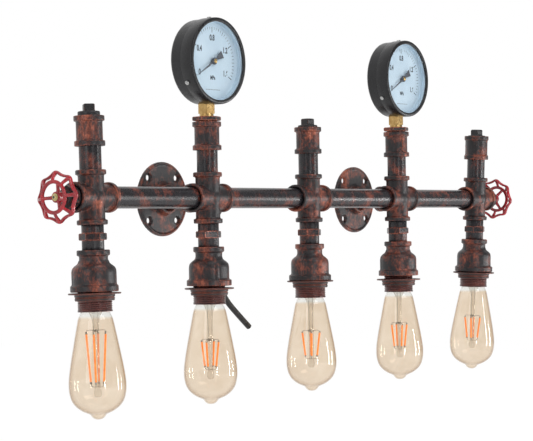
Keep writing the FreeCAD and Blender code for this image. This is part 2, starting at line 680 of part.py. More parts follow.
def bonnet():
    """Hexagon bonnet in the cross's outer mouth, with a gland neck round the spindle."""
    shank = rod(V(0, 0, SEAT), V(0, 0, 33.0), PIPE_R)
    nut = hexagon(BONNET_FLATS, 33.0, 40.0)
    gland = turned((0, 40.0), (8.0, 40.0), (8.0, 44.2), (7.2, 45.0), (0, 45.0))
    bore = rod(V(0, 0, SEAT), V(0, 0, 45.0), SPINDLE_R + 0.06)
    return fused(shank, nut, gland).cut(bore)


def at_end(shape, side):
    """A shape modelled along Z, set pointing outward from the end column; side is -1 or 1."""
    turned_wheel = spun(facing(shape, V(side, 0, 0)), WHEEL_TURN[side], X_AXIS)
    return moved(turned_wheel, side * 2 * COLUMN_PITCH, -WALL_GAP)


# ---- wiring ------------------------------------------------------------------------------------------

def lead_path(points):
    """Straight runs joined by tangent arcs, each as large as its two runs allow."""
    edges = []
    here = points[0]
    for before, corner, after in zip(points, points[1:], points[2:]):
        arriving, leaving = corner - before, after - corner
        shorter = min(arriving.Length, leaving.Length)
        turn = arriving.getAngle(leaving)
        setback = 0.45 * shorter
        radius = setback / math.tan(turn / 2)
        print(f"lead bend: radius {radius:.1f}, turn {math.degrees(turn):.1f}")
        arriving.normalize()
        leaving.normalize()
        start = corner - arriving * setback
        end = corner + leaving * setback
        inward = (leaving - arriving).normalize()
        middle = (start + end) * 0.5 - inward * radius * (1 - math.cos(turn / 2))
        edges.append(Part.LineSegment(here, start).toShape())
        edges.append(Part.Arc(start, middle, end).toShape())
        here = end
    edges.append(Part.LineSegment(here, points[-1]).toShape())
    return Part.Wire(edges)


def mains_lead():
    path = lead_path(LEAD_ROUTE)
    section = Part.Wire(Part.makeCircle(LEAD_R, LEAD_ROUTE[0], LEAD_ROUTE[1] - LEAD_ROUTE[0]))
    lead = path.makePipeShell([section], True, False)
    expected = math.pi * LEAD_R ** 2 * path.Length
    print(f"lead: length {path.Length:.1f}, volume {lead.Volume:.0f}, section times length {expected:.0f}")
    return lead


def lead_grommet():
    """Rubber grommet: saddle flange on the pipe and a neck through its wall."""
    flange = rod(V(0, 6.0, 0), V(0, 14.8, 0), GROMMET_R).cut(rod(V(-20, 0, 0), V(20, 0, 0), PIPE_R))
    neck = rod(V(0, 9.0, 0), V(0, 13.0, 0), GROMMET_NECK_R)
    bore = rod(V(0, 5.0, 0), V(0, 16.0, 0), LEAD_R + 0.05)
    return moved(fused(flange, neck).cut(bore), LEAD_X, -WALL_GAP)


def internal_wiring():
    """Two wires along the run, and from each a drop down every column to its lampholder."""
    wires = []
    for side in (-1, 1):
        start, end = (V(COLUMN_X[column], side * WIRE_SPREAD - WALL_GAP, 0) for column in (1, 5))
        wires.append(rod(start, end, WIRE_R))
        joint, terminal = (V(0, side * WIRE_SPREAD, z) for z in (-WIRE_R - 0.2, HOLDER_TOP - 1.9))
        wires += in_columns(lambda column: rod(joint, terminal, WIRE_R))
    return wires


# ---- the whole light ---------------------------------------------------------------------------------

def main():
    os.makedirs("parts", exist_ok=True)

    write("four_way_crosses", in_columns(four_way_cross, PLUG_COLUMNS))
    write("five_way_crosses", in_columns(five_way_cross, GAUGE_COLUMNS))
    write("run_pipes", run_pipes())
    write("upper_nipples", in_columns(upper_nipple))
    write("pipe_couplings", in_columns(coupling))
    write("square_plugs", in_columns(square_plug, PLUG_COLUMNS))
    write("hex_nipples", in_columns(hex_nipple))
    write("bell_reducers", in_columns(bell_reducer))
    write("rear_nipples", [rear_nipple_at(column) for column in GAUGE_COLUMNS])
    write("wall_flanges", [wall_flange_at(column) for column in GAUGE_COLUMNS])

    write("lampholder_sleeves", in_columns(holder_sleeve))
    write("lampholder_insulators", in_columns(holder_insulator))
    write("screw_shells", in_columns(screw_shell))
    write("holder_contacts", [in_column(piece, column) for column in COLUMN_X for piece in holder_contacts(column)])
    for column in COLUMN_X:
        write(f"shade_ring_{column}", [in_column(shade_ring(column), column)])
        write(f"bulb_glass_{column}", [in_column(bulb_glass(column), column)])
        write(f"bulb_cap_{column}", [in_column(bulb_cap(column), column)])
        write(f"filament_mount_{column}", [in_column(filament_mount(column), column)])

    write("gauge_bushings", in_columns(gauge_bushing, GAUGE_COLUMNS))
    write("gauge_stems", in_columns(gauge_stem, GAUGE_COLUMNS))
    write("gauge_pots", [gauge_pot(column) for column in GAUGE_COLUMNS])
    write("gauge_bezels", [gauge_bezel(column) for column in GAUGE_COLUMNS])
    write("gauge_windows", [gauge_window(column) for column in GAUGE_COLUMNS])
    write("gauge_dials", [gauge_dial(column) for column in GAUGE_COLUMNS])
    write("bezel_screws", [screw for column in GAUGE_COLUMNS for screw in bezel_screws(column)])
    write("bourdon_tubes", [bourdon_tube(column) for column in GAUGE_COLUMNS])
    write("movement_frames", [movement_frame(column) for column in GAUGE_COLUMNS])
    for side, column in zip(("left", "right"), GAUGE_COLUMNS):
        write(f"gauge_pointer_{side}", [gauge_pointer(column)])
        write(f"sector_gear_{side}", [sector_gear(column)])

    write("handwheel_bonnets", [at_end(bonnet(), side) for side in (-1, 1)])
    for name, side in (("left", -1), ("right", 1)):
        write(f"handwheel_{name}", [at_end(handwheel(), side)])
        write(f"wheel_spindle_{name}", [at_end(spindle(), side)])
        write(f"wheel_screw_{name}", [at_end(wheel_washer(), side), at_end(wheel_screw(), side)])

    write("mains_lead", [mains_lead()])
    write("lead_grommet", [lead_grommet()])
    write("internal_wiring", internal_wiring())


main()
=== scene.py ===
import math

import bmesh
import bpy
from mathutils import Matrix, Vector


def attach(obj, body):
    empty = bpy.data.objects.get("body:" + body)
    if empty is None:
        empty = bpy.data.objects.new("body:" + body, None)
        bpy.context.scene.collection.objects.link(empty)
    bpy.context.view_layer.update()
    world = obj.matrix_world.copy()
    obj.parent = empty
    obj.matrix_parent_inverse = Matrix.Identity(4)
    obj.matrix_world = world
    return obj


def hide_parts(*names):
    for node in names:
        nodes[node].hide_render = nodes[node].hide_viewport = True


# Looks of the pipe wall light. Millimetres in the numbers below, metres in Blender. A piece on a column is
# made about the column's own axis and set in place by column_place; a gauge's about its own axis, seen from
# the room; a handwheel's along Z, pointing outward.

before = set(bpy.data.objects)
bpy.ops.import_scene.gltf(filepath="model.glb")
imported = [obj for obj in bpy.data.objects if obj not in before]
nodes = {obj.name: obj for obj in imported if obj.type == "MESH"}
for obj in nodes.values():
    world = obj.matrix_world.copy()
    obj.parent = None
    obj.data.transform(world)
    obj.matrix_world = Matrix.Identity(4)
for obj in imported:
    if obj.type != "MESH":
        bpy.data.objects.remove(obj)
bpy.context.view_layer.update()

MM = 0.001
PITCH = 206.0
WALL_GAP = 75.0
COLUMNS = range(1, 6)
LEAN = {1: -1.3, 5: 2.6}
GAUGES = {"left": 2, "right": 4}
GAUGE_HEIGHT = 164.3


def column_x(column):
    return (column - 3) * PITCH


def column_place(column):
    """From a column's own axis, in millimetres, to the frame in metres."""
    return (Matrix.Scale(MM, 4) @ Matrix.Translation((column_x(column), -WALL_GAP, 0))
            @ Matrix.Rotation(math.radians(LEAN.get(column, 0.0)), 4, "X"))


def gauge_place(column):
    """Z of the piece comes forward to the room, X stays, Y goes up."""
    turn = Matrix(((1, 0, 0, 0), (0, 0, -1, 0), (0, 1, 0, 0), (0, 0, 0, 1)))
    return Matrix.Scale(MM, 4) @ Matrix.Translation((column_x(column), -WALL_GAP, GAUGE_HEIGHT)) @ turn


def end_place(side, turn):
    """Z of the piece points outward along the run at the left (-1) or right (1) end."""
    return (Matrix.Scale(MM, 4) @ Matrix.Translation((side * 2 * PITCH, -WALL_GAP, 0))
            @ Matrix.Rotation(math.radians(turn), 4, "X") @ Matrix.Rotation(side * math.pi / 2, 4, "Y"))


# ---- camera ----------------------------------------------------------------------------------------------

SENSOR_WIDTH = 36.0
LENS = 128.6
# place in metres and the three directions, fitted to the photograph
CAMERA_PLACE = (-1.98615, -1.53140, -0.03677)
CAMERA_RIGHT = (0.60921, -0.79284, -0.01616)
CAMERA_UP = (0.00700, -0.01501, 0.99986)
CAMERA_BACK = (-0.79298, -0.60924, -0.00360)


def add_camera():
    data = bpy.data.cameras.new("camera")
    data.sensor_width = SENSOR_WIDTH
    data.lens = LENS
    camera = bpy.data.objects.new("camera", data)
    camera.matrix_world = (Matrix.Translation(CAMERA_PLACE)
                           @ Matrix((CAMERA_RIGHT, CAMERA_UP, CAMERA_BACK)).transposed().to_4x4())
    bpy.context.scene.collection.objects.link(camera)
    bpy.context.scene.camera = camera


# ---- materials -------------------------------------------------------------------------------------------

def srgb(red, green, blue):
    """Linear colour from the 0 to 255 values of a picture."""
    def linear(value):
        value /= 255
        return value / 12.92 if value <= 0.04045 else ((value + 0.055) / 1.055) ** 2.4
    return linear(red), linear(green), linear(blue), 1.0


class Shading:
    """A material's node tree, built by short calls."""

    def __init__(self, name):
        self.material = bpy.data.materials.new(name)
        self.material.use_nodes = True
        self.tree = self.material.node_tree
        self.tree.nodes.clear()
        self.output = self.add("ShaderNodeOutputMaterial")
        self.place = self.add("ShaderNodeTexCoord").outputs["Object"]

    def add(self, kind, links=(), **values):
        node = self.tree.nodes.new(kind)
        for name, value in values.items():
            setattr(node, name, value)
        for socket, source in dict(links).items():
            target = node.inputs[socket]
            if isinstance(source, bpy.types.NodeSocket):
                self.tree.links.new(source, target)
            else:
                target.default_value = source
        return node

    def math(self, operation, first, second):
        return self.add("ShaderNodeMath", {0: first, 1: second}, operation=operation).outputs[0]

    def ramp(self, value, low, high, out_low=0.0, out_high=1.0):
        """Value from low to high, eased, to the two ends given."""
        ends = {"Value": value, "From Min": low, "From Max": high, "To Min": out_low, "To Max": out_high}
        return self.add("ShaderNodeMapRange", ends, interpolation_type="SMOOTHSTEP").outputs[0]

    def noise(self, size, detail=3.0, stretch=(1, 1, 1), roughness=0.55, shift=0.0):
        """Noise whose features are about size millimetres, times the stretch along X, Y and Z."""
        scaled = self.add("ShaderNodeMapping", {"Vector": self.place, "Scale": [1 / axis for axis in stretch],
                                                "Location": (shift, shift, shift)})
        return self.add("ShaderNodeTexNoise", {"Vector": scaled.outputs[0], "Scale": 1 / (size * MM),
                                               "Detail": detail, "Roughness": roughness}).outputs["Fac"]

    def blend(self, amount, first, second):
        mix = self.add("ShaderNodeMix", data_type="RGBA")
        for index, source in ((0, amount), (6, first), (7, second)):
            if isinstance(source, bpy.types.NodeSocket):
                self.tree.links.new(source, mix.inputs[index])
            else:
                mix.inputs[index].default_value = source
        return mix.outputs[2]

    def edges(self, radius):
        """How far the surface turns within radius millimetres: 0 on flats, rising at edges."""
        rounded = self.add("ShaderNodeBevel", {"Radius": radius * MM}, samples=6).outputs[0]
        plain = self.add("ShaderNodeNewGeometry").outputs["Normal"]
        dot = self.add("ShaderNodeVectorMath", {0: rounded, 1: plain}, operation="DOT_PRODUCT")
        return self.math("SUBTRACT", 1.0, dot.outputs["Value"])

    def bump(self, height, depth, strength):
        return self.add("ShaderNodeBump", {"Height": height, "Distance": depth * MM,
                                           "Strength": strength}).outputs[0]

    def finish(self, links, **values):
        shader = self.add("ShaderNodeBsdfPrincipled", links)
        for name, value in values.items():
            shader.inputs[name.replace("_", " ")].default_value = value
        self.tree.links.new(shader.outputs[0], self.output.inputs["Surface"])
        return self.material


def rubbed_iron(name, dark, rust, copper, amount, gloss=(0.3, 0.5)):
    """Blackened casting, brushed with copper red where hands and edges rub it."""
    s = Shading(name)
    large = s.noise(22.0, 4.0)
    streak = s.noise(2.4, 5.0, (1, 1, 1.7), 0.7, 0.31)
    grain = s.noise(0.7, 2.0)
    rub = s.math("ADD", s.math("MULTIPLY", large, 0.75), s.math("MULTIPLY", streak, 0.5))
    worn_edge = s.math("MULTIPLY", s.edges(1.6), 3.6)
    rub = s.math("ADD", rub, worn_edge)
    patches = s.ramp(rub, 0.66 - amount, 0.82 - amount)
    bright = s.ramp(s.math("ADD", rub, s.math("MULTIPLY", grain, 0.14)), 0.82 - amount, 1.06 - amount)
    base = s.blend(s.ramp(s.noise(6.0, 3.0, shift=0.7), 0.35, 0.65), dark,
                   (dark[0] * 1.7, dark[1] * 1.6, dark[2] * 1.6, 1))
    colour = s.blend(bright, s.blend(patches, base, rust), copper)
    roughness = s.ramp(s.noise(1.4, 3.0, shift=0.5), 0.3, 0.7, *gloss)
    height = s.math("ADD", s.noise(1.1, 4.0), s.math("MULTIPLY", s.noise(4.5, 2.0), 0.8))
    return s.finish({"Base Color": colour, "Roughness": roughness,
                     "Metallic": s.math("MULTIPLY", bright, 0.45),
                     "Normal": s.bump(height, 0.12, 0.75)}, Specular_IOR_Level=0.4)


def painted(name, colour, second, gloss, metallic=0.0, grain=(0.8, 0.02), patch=9.0, edge=None, coat=0.0,
            stretch=(1, 1, 1), specular=0.5):
    """Paint, metal or plastic: two close tones in patches, uneven gloss, a fine relief, other edges."""
    s = Shading(name)
    tone = s.ramp(s.noise(patch, 3.0, stretch), 0.32, 0.68)
    shade = s.blend(tone, colour, second)
    if edge:
        rub = s.math("ADD", s.math("MULTIPLY", s.edges(0.7), 3.0), s.math("MULTIPLY", s.noise(2.2, 3.0), 0.5))
        shade = s.blend(s.ramp(rub, 0.5, 1.1), shade, edge)
    roughness = s.ramp(s.noise(patch / 3, 3.0, stretch, shift=0.4), 0.3, 0.7, *gloss)
    return s.finish({"Base Color": shade, "Roughness": roughness,
                     "Normal": s.bump(s.noise(grain[0], 3.0, stretch), grain[1], 0.8)},
                    Metallic=metallic, Coat_Weight=coat, Coat_Roughness=0.12, Specular_IOR_Level=specular)


def clear(name, centre, edge, gloss, clear_above=None, milk=0.0):
    """Thin glass: tinted light straight through, darker towards the outline, with a mirror sheen."""
    s = Shading(name)
    facing = s.add("ShaderNodeLayerWeight", {"Blend": 0.5}).outputs["Facing"]
    rim = s.ramp(s.math("POWER", facing, 2.2), 0.0, 1.0)
    film = s.ramp(s.noise(26.0, 2.0), 0.3, 0.7, 0.0, 0.35)
    tint = s.blend(s.math("MAXIMUM", rim, s.math("MULTIPLY", film, 0.4)), centre, edge)
    if clear_above is not None:
        height = s.add("ShaderNodeSeparateXYZ", {0: s.place}).outputs["Z"]
        above = s.ramp(height, (clear_above - 2) * MM, (clear_above + 2) * MM)
        tint = s.blend(above, tint, (0.96, 0.96, 0.95, 1))
    through = s.add("ShaderNodeBsdfTransparent", {"Color": tint})
    if milk:
        haze = s.add("ShaderNodeBsdfDiffuse", {"Color": (0.9, 0.89, 0.86, 1)})
        through = s.add("ShaderNodeMixShader", {0: milk, 1: through.outputs[0], 2: haze.outputs[0]})
    relief = s.bump(s.noise(9.0, 2.0), 0.05, 0.4)
    roughness = s.ramp(s.noise(12.0), 0.3, 0.7, *gloss)
    sheen = s.add("ShaderNodeBsdfGlossy", {"Roughness": roughness, "Normal": relief})
    outward = s.math("SUBTRACT", 1.0, s.add("ShaderNodeNewGeometry").outputs["Backfacing"])
    mirror = s.math("MULTIPLY", s.add("ShaderNodeFresnel", {"IOR": 1.55}).outputs[0], outward)
    mix = s.add("ShaderNodeMixShader", {0: mirror, 1: through.outputs[0], 2: sheen.outputs[0]})
    s.tree.links.new(mix.outputs[0], s.output.inputs["Surface"])
    return s.material


def glowing(name, colour, second):
    """Phosphor sticks: warm orange, a little lighter in places, faintly lit from within."""
    s = Shading(name)
    shade = s.blend(s.ramp(s.noise(3.0), 0.35, 0.65), colour, second)
    return s.finish({"Base Color": shade, "Emission Color": shade,
                     "Roughness": s.ramp(s.noise(1.0), 0.3, 0.7, 0.4, 0.6),
                     "Normal": s.bump(s.noise(0.5), 0.03, 0.6)}, Emission_Strength=0.5)


FILM_TOP = -135.0       # the bulbs' amber film ends at this height

MATERIALS = {
    "iron": rubbed_iron("iron", srgb(28, 26, 28), srgb(106, 54, 42), srgb(190, 110, 84), 0.08),
    "iron_pipe": rubbed_iron("iron_pipe", srgb(28, 27, 30), srgb(96, 50, 41), srgb(170, 96, 74), 0.05,
                             (0.2, 0.36)),
    "iron_black": rubbed_iron("iron_black", srgb(24, 23, 26), srgb(70, 40, 34), srgb(140, 78, 60), -0.03),
    "iron_brown": rubbed_iron("iron_brown", srgb(30, 24, 25), srgb(70, 38, 34), srgb(136, 74, 58), 0.02),
    "sleeve": rubbed_iron("sleeve", srgb(38, 23, 24), srgb(74, 38, 35), srgb(122, 62, 52), 0.03, (0.2, 0.34)),
    "wheel_red": painted("wheel_red", srgb(172, 20, 34), srgb(138, 14, 28), (0.18, 0.32), grain=(1.8, 0.09),
                         edge=srgb(190, 44, 54), coat=0.3),
    "brass": painted("brass", srgb(196, 164, 108), srgb(168, 134, 82), (0.24, 0.42), 0.92, grain=(0.6, 0.02),
                     edge=srgb(226, 196, 136)),
    "screw_brass": painted("screw_brass", srgb(210, 198, 146), srgb(186, 170, 112), (0.3, 0.45), 0.45,
                           patch=2.0),
    "steel": painted("steel", srgb(186, 186, 184), srgb(150, 150, 150), (0.25, 0.42), 0.95, patch=4.0,
                     edge=srgb(214, 214, 212)),
    "cap_metal": painted("cap_metal", srgb(196, 190, 176), srgb(166, 158, 144), (0.22, 0.38), 0.95,
                         patch=5.0),
    "gauge_black": painted("gauge_black", srgb(20, 20, 22), srgb(26, 26, 29), (0.26, 0.38), grain=(0.5, 0.03),
                           edge=srgb(46, 46, 48), patch=14.0, specular=0.4),
    "dial": painted("dial", srgb(192, 211, 226), srgb(202, 219, 232), (0.45, 0.6), patch=30.0, specular=0.3),
    "print": painted("print", srgb(46, 50, 60), srgb(58, 62, 72), (0.5, 0.6), patch=6.0, specular=0.2),
    "pointer": painted("pointer", srgb(66, 70, 80), srgb(78, 82, 92), (0.35, 0.5), patch=6.0),
    "ceramic": painted("ceramic", srgb(226, 222, 212), srgb(214, 208, 196), (0.2, 0.35), patch=8.0),
    "rubber": painted("rubber", srgb(46, 45, 46), srgb(58, 57, 58), (0.55, 0.7), grain=(0.5, 0.05)),
    "lead": painted("lead", srgb(29, 27, 27), srgb(40, 38, 38), (0.4, 0.56), grain=(0.6, 0.05),
                    stretch=(1, 1, 3), specular=0.35),
    "filler": painted("filler", srgb(118, 116, 114), srgb(96, 94, 92), (0.6, 0.75), patch=1.5),
    "wire_brown": painted("wire_brown", srgb(112, 70, 44), srgb(128, 84, 54), (0.4, 0.55), patch=2.0),
    "wire_blue": painted("wire_blue", srgb(50, 84, 150), srgb(62, 98, 162), (0.4, 0.55), patch=2.0),
    "mount_glass": clear("mount_glass", (0.95, 0.94, 0.92, 1), (0.66, 0.63, 0.58, 1), (0.02, 0.06),
                         milk=0.16),
    "bulb_glass": clear("bulb_glass", (0.962, 0.922, 0.868, 1), (0.79, 0.69, 0.58, 1), (0.012, 0.04),
                        FILM_TOP),
    "window_glass": clear("window_glass", (0.985, 0.99, 0.99, 1), (0.9, 0.93, 0.93, 1), (0.01, 0.03)),
    "filament": glowing("filament", srgb(255, 132, 52), srgb(255, 160, 82)),
}


# ---- mesh helpers ----------------------------------------------------------------------------------------

def add_piece(name, mesh, place, body, materials, replaces=(), sharp=38):
    """An object for a mesh in millimetres, set in place, with its materials, on its body."""
    mesh.transform(place)
    piece = bpy.data.objects.new(name, mesh)
    bpy.context.scene.collection.objects.link(piece)
    for material in materials:
        mesh.materials.append(MATERIALS[material])
    mesh.shade_smooth()
    mesh.set_sharp_from_angle(angle=math.radians(sharp))
    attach(piece, body)
    if replaces:
        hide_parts(*replaces)
    return piece


SOFT_SEGMENTS = 2
SOFT_ANGLE = 33         # degrees: only edges sharper than this are rounded
MERGE = 1e-5            # millimetres: points closer than this become one
AT_AXIS = 1e-6          # millimetres: a radius below this is a tip


def soften(piece, width):
    """Rounded edges, as on a casting."""
    bevel = piece.modifiers.new("rounded", "BEVEL")
    bevel.width = width * MM
    bevel.segments = SOFT_SEGMENTS
    bevel.limit_method = "ANGLE"
    bevel.angle_limit = math.radians(SOFT_ANGLE)
    bevel.use_clamp_overlap = True
    bevel.harden_normals = True


def cast(piece, voxel, passes=3):
    """One skin over everything the piece is made of, its corners eased as in a sand casting."""
    remesh = piece.modifiers.new("cast", "REMESH")
    remesh.mode = "VOXEL"
    remesh.voxel_size = voxel * MM
    remesh.use_smooth_shade = True
    ease = piece.modifiers.new("eased", "SMOOTH")
    ease.factor = 0.5
    ease.iterations = passes


def to_mesh(name, fill):
    """A mesh made by fill(bm)."""
    bm = bmesh.new()
    fill(bm)
    bmesh.ops.remove_doubles(bm, verts=bm.verts, dist=MERGE)
    bmesh.ops.recalc_face_normals(bm, faces=bm.faces)
    mesh = bpy.data.meshes.new(name)
    bm.to_mesh(mesh)
    bm.free()
    return mesh


def skin(bm, rings, closed_along=False, material=0):
    """Quads between rings of points; a ring of one point closes to a tip."""
    rows = [[bm.verts.new(point) for point in ring] for ring in rings]
    pairs = list(zip(rows, rows[1:] + rows[:1])) if closed_along else list(zip(rows, rows[1:]))
    for here, there in pairs:
        count = max(len(here), len(there))
        for index in range(count):
            following = (index + 1) % count
            corners = [here[index % len(here)], here[following % len(here)],
                       there[following % len(there)], there[index % len(there)]]
            unique = list(dict.fromkeys(corners))
            if len(unique) > 2:
                bm.faces.new(unique).material_index = material
    return rows


def revolve(bm, profile, segments, closed=True, material=0):
    """A half section of (radius, height) points turned about Z."""
    rings = []
    for radius, height in profile:
        if radius < AT_AXIS:
            rings.append([(0, 0, height)])
        else:
            rings.append([(radius * math.cos(2 * math.pi * side / segments),
                           radius * math.sin(2 * math.pi * side / segments), height)
                          for side in range(segments)])
    skin(bm, rings, closed_along=closed and profile[0][0] > AT_AXIS, material=material)


def smooth_line(points, steps):
    """A Catmull-Rom line through the points."""
    line = []
    padded = [points[0]] + list(points) + [points[-1]]
    for a, b, c, d in zip(padded, padded[1:], padded[2:], padded[3:]):
        for step in range(steps):
            t = step / steps
            line.append(tuple(0.5 * (2 * q + (r - p) * t + (2 * p - 5 * q + 4 * r - s) * t * t
                                     + (3 * q - p - 3 * r + s) * t ** 3) for p, q, r, s in zip(a, b, c, d)))
    return line + [tuple(points[-1])]


def tube(bm, points, radii, sides, material=0):
    """A round bar along points; radii is one number or one for each point."""
    points = [Vector(point) for point in points]
    radii = radii if isinstance(radii, (list, tuple)) else [radii] * len(points)
    rings = []
    for index, point in enumerate(points):
        along = points[min(index + 1, len(points) - 1)] - points[max(index - 1, 0)]
        along.normalize()
        side = along.cross(Vector((0, 0, 1)) if abs(along.z) < 0.9 else Vector((1, 0, 0))).normalized()
        over = side.cross(along)
        rings.append([point + radii[index] * (side * math.cos(2 * math.pi * step / sides)
                                              + over * math.sin(2 * math.pi * step / sides))
                      for step in range(sides)])
    skin(bm, [[points[0]]] + rings + [[points[-1]]], material=material)


def polar(radius, degrees, height=0.0):
    return radius * math.cos(math.radians(degrees)), radius * math.sin(math.radians(degrees)), height


def threaded(bm, low, high, radius, depth, pitch, bore, segments, plain):
    """A sleeve with a rolled thread outside; its lowest stretch, as long as plain says, stays round."""
    steps = max(2, round((high - low) / pitch * 8))
    rings = []
    for step in range(steps + 1):
        height = low + (high - low) * step / steps
        ring = []
        for side in range(segments):
            phase = height / pitch - side / segments
            cut = depth * (0.5 - 0.5 * math.cos(2 * math.pi * phase)) ** 0.8
            fade = min(1.0, max(0.0, (height - low - plain) / 1.2), max(0.0, (high - height) / 1.2))
            ring.append(polar(radius - cut * fade, 360 * side / segments, height))
        rings.append(ring)
    rings.append([polar(bore, 360 * side / segments, high) for side in range(segments)])
    rings.append([polar(bore, 360 * side / segments, low) for side in range(segments)])
    skin(bm, rings, closed_along=True)


# ---- mains lead ------------------------------------------------------------------------------------------

LEAD_R = 3.75
LEAD_ROUTE = [(-126, -70.8, 0), (-126, -48.5, 0), (-126, -29, -11.3), (-126, -17.8, -30.8),
              (-126, -17.8, -70), (-120.5, -17.8, -101), (-106, -17.8, -126), (-83, -17.8, -145),
              (-57, -17.8, -164.3)]


def add_lead():
    """The lead as one smooth line, with its cut cores at the end."""
    curve = bpy.data.curves.new("mains_lead_sheath", "CURVE")
    curve.dimensions = "3D"
    curve.bevel_depth = LEAD_R * MM
    curve.bevel_resolution = 6
    curve.use_fill_caps = True
    spline = curve.splines.new("NURBS")
    spline.points.add(len(LEAD_ROUTE) - 1)
    for point, place in zip(spline.points, LEAD_ROUTE):
        point.co = [value * MM for value in place] + [1.0]
    spline.order_u = 3
    spline.use_endpoint_u = True
    spline.resolution_u = 16
    curve.materials.append(MATERIALS["lead"])
    lead = bpy.data.objects.new("mains_lead_sheath", curve)
    bpy.context.scene.collection.objects.link(lead)
    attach(lead, "pipework")
    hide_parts("mains_lead")

    along = (Vector(LEAD_ROUTE[-1]) - Vector(LEAD_ROUTE[-2])).normalized()
    turn = along.to_track_quat("Z", "Y").to_matrix().to_4x4()
    place = Matrix.Scale(MM, 4) @ Matrix.Translation(LEAD_ROUTE[-1]) @ turn

    def cores(bm):
        revolve(bm, [(0, -0.4), (3.0, -0.4), (3.0, 0.12), (0, 0.12)], 32, False)
        for angle, material in ((90, 1), (270, 2)):
            tube(bm, [polar(1.3, angle, -0.4), polar(1.3, angle, 0.5)], 1.1, 16, material=material)
            tube(bm, [polar(1.3, angle, 0.0), polar(1.3, angle, 0.8)], 0.55, 10, material=3)
    ends = add_piece("lead_core_ends", to_mesh("lead_core_ends", cores), place, "pipework",
                     ["filler", "wire_brown", "wire_blue", "brass"])


# ---- bulbs, lampholders and shade rings ------------------------------------------------------------------

BULB_LINE = [(14.1, -124.2), (15.6, -127.2), (18.0, -131.4), (19.7, -136.2), (21.2, -143.0), (24.0, -157.0),
             (26.8, -171.5), (29.7, -187.0), (31.8, -201.0), (32.4, -210.5), (31.8, -219.0), (29.5, -227.3),
             (25.0, -233.8), (18.6, -238.8), (12.8, -241.6), (9.8, -242.9), (8.3, -244.4), (6.9, -246.4),
             (4.0, -248.3), (0.0, -248.95)]
GLASS_WALL = 0.9
FILAMENT_TOP = {1: -150.0, 2: -172.0, 3: -172.0, 4: -172.0, 5: -172.0}
FILAMENT_BOTTOM = {1: -210.0, 2: -205.0, 3: -205.0, 4: -205.0, 5: -205.0}
FILAMENT_TURN = {1: 30.0, 2: 15.0, 3: 40.0, 4: 55.0, 5: 20.0}
FILAMENTS = 4
FILAMENT_R = 1.15
HOOK_R = 0.34
CAP_PITCH = 3.63
SLEEVE_PITCH = 2.3
SHADE_BORE = 19.87


def bulb_glass(bm):
    """Two walls that meet round the open neck, and thicken towards the pip."""
    outside = smooth_line(BULB_LINE, 4)
    inside = []
    for radius, height in outside:
        rise = max(0.0, min(1.0, (-205 - height) / 40))
        inside.append((max(radius - GLASS_WALL, 0.0), height + GLASS_WALL * rise))
    inside[-1] = (0.0, inside[-1][1])
    revolve(bm, outside + inside[::-1], 72)


def filament_mount(column):
    """Glass stem, two lead wires, and four filaments held between hooks above and arms below."""
    top, bottom = FILAMENT_TOP[column], FILAMENT_BOTTOM[column]

    def fill(bm):
        stem = [(0, -124.2), (9.0, -124.2), (8.4, -127.0), (6.0, -132.0), (4.2, -137.0), (3.3, -143.0),
                (3.0, bottom + 4), (3.2, bottom - 3), (4.3, bottom - 8), (4.2, bottom - 11.5),
                (2.6, bottom - 13.6), (0, bottom - 13.9)]
        revolve(bm, stem, 28, False)
        tube(bm, [(0, 0, top + 2.0), (0, 0, top - 0.8)], 3.5, 20, material=1)
        for side in (-1, 1):
            lead = smooth_line([(side * 4.5, 0, -124.6), (side * 4.2, 0, -133.0),
                                (side * 3.6, 0, (top - 140) / 2),
                                (side * 3.4, 0, top + 1.5)], 5)
            tube(bm, lead, 0.32, 6, material=1)
        for quarter in range(FILAMENTS):
            angle = FILAMENT_TURN[column] + 360 // FILAMENTS * quarter
            head, foot = polar(11.3, angle, top - 0.4), polar(7.4, angle, bottom + 0.4)
            tube(bm, [head, foot], FILAMENT_R, 12, material=2)
            hook = smooth_line([(0, 0, top + 0.6), polar(6.5, angle, top + 1.3),
                                polar(10.4, angle, top + 0.9), head], 4)
            tube(bm, hook, HOOK_R, 6, material=1)
            arm = smooth_line([(0, 0, bottom - 2), polar(3.8, angle, bottom - 2.6),
                               polar(6.9, angle, bottom - 1.2), foot], 4)
            tube(bm, arm, HOOK_R, 6, material=1)
            for end, other in ((head, foot), (foot, head)):
                clip = Vector(end).lerp(Vector(other), 0.05)
                tube(bm, [end, clip], 1.25, 10, material=1)
    return fill


def bulb_cap(bm):
    """Screw shell with its rolled thread, insulating cone and centre contact."""
    threaded(bm, -123.8, -101.4, 13.15, 0.75, CAP_PITCH, 12.2, 64, plain=3.0)
    revolve(bm, [(13.1, -101.6), (13.1, -101.2), (6.2, -98.0), (6.2, -99.0), (12.2, -102.0)], 64, material=1)
    revolve(bm, [(0, -96.95), (3.4, -97.1), (4.6, -98.0), (5.2, -99.2), (0, -99.2)], 48, False)


def holder_sleeve(bm):
    """Plain above, threaded where the shade ring runs, and plain again for the last bit at its mouth."""
    threaded(bm, -128.2, -103.0, 19.7, 0.7, SLEEVE_PITCH, 18.35, 80, plain=0.9)
    revolve(bm, [(18.35, -103.0), (19.0, -103.0), (19.7, -101.8), (19.7, -86.0), (6.0, -86.0), (6.0, -87.5),
                 (18.35, -87.5)], 80)


def shade_ring(top):
    """A flat plate on a hub with a groove round it."""
    def fill(bm):
        revolve(bm, [(SHADE_BORE + 0.5, top), (29.4, top), (29.9, top - 0.5), (29.9, top - 1.3),
                     (29.4, top - 1.75), (23.4, top - 1.85), (22.95, top - 2.4), (22.8, top - 4.4),
                     (22.1, top - 4.9), (22.1, top - 5.6), (22.7, top - 6.0), (22.35, top - 8.6),
                     (21.9, top - 9.0), (SHADE_BORE + 0.4, top - 9.0), (SHADE_BORE, top - 8.5),
                     (SHADE_BORE, top - 0.5)], 96)
    return fill


